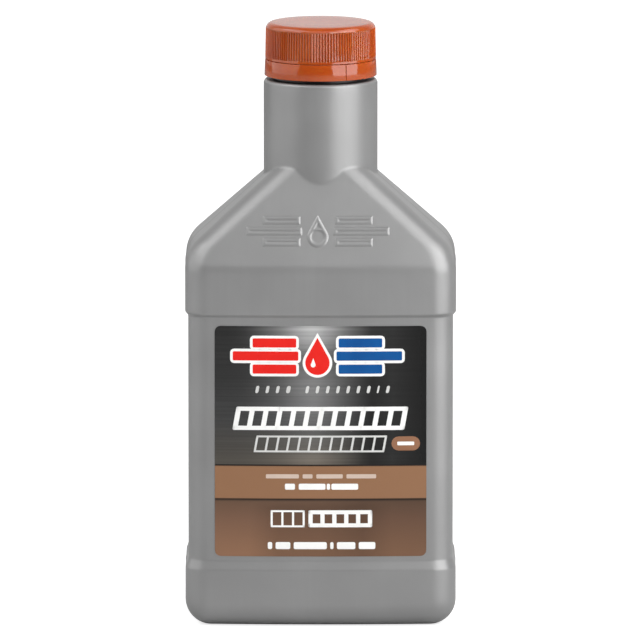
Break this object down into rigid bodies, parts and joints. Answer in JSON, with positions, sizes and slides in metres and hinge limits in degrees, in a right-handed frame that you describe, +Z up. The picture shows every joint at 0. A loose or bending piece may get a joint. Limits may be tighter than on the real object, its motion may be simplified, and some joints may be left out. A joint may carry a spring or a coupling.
{
  "type": "motor oil bottle",
  "caption": "Blow-moulded quart bottle of motor oil with a pyramid shoulder, long round neck, recessed label panel and ribbed screw cap with tamper band.",
  "frame": {"origin": "centre of the base, on the surface that the bottle stands on", "axes": "+Z up along the neck's axis, the front label faces -Y, the bottle's long sides run along X"},
  "size_m": [0.1028, 0.065, 0.2275],
  "materials": {
    "bottle_plastic": "satin grey moulded plastic",
    "cap_plastic": "orange moulded plastic",
    "liner_foam": "white foamed plastic disc",
    "front_print": "dark printed film, glossy",
    "back_print": "dark printed film, glossy",
    "oil": "clear amber oil"
  },
  "bodies": {
    "root": {"bottle": "bottle_plastic", "tamper_band": "cap_plastic", "front_label": "front_print", "back_label": "back_print", "motor_oil": "oil"},
    "liner": {"cap_liner": "liner_foam"},
    "cap": {"cap": "cap_plastic"}
  },
  "joints": [
    {"name": "cap_rise", "type": "slide", "parent": "root", "child": "liner", "axis": [0, 0, 1], "range_m": [0, 0.01693]},
    {"name": "cap_turn", "type": "hinge", "parent": "liner", "child": "cap", "pos_m": [0, 0, 0.215], "axis": [0, 0, 1], "range_deg": [0, 1440]}
  ],
  "couplings": [
    {"joint": "cap_turn", "follows": "cap_rise", "rad_per_m": 1484.2}
  ]
}
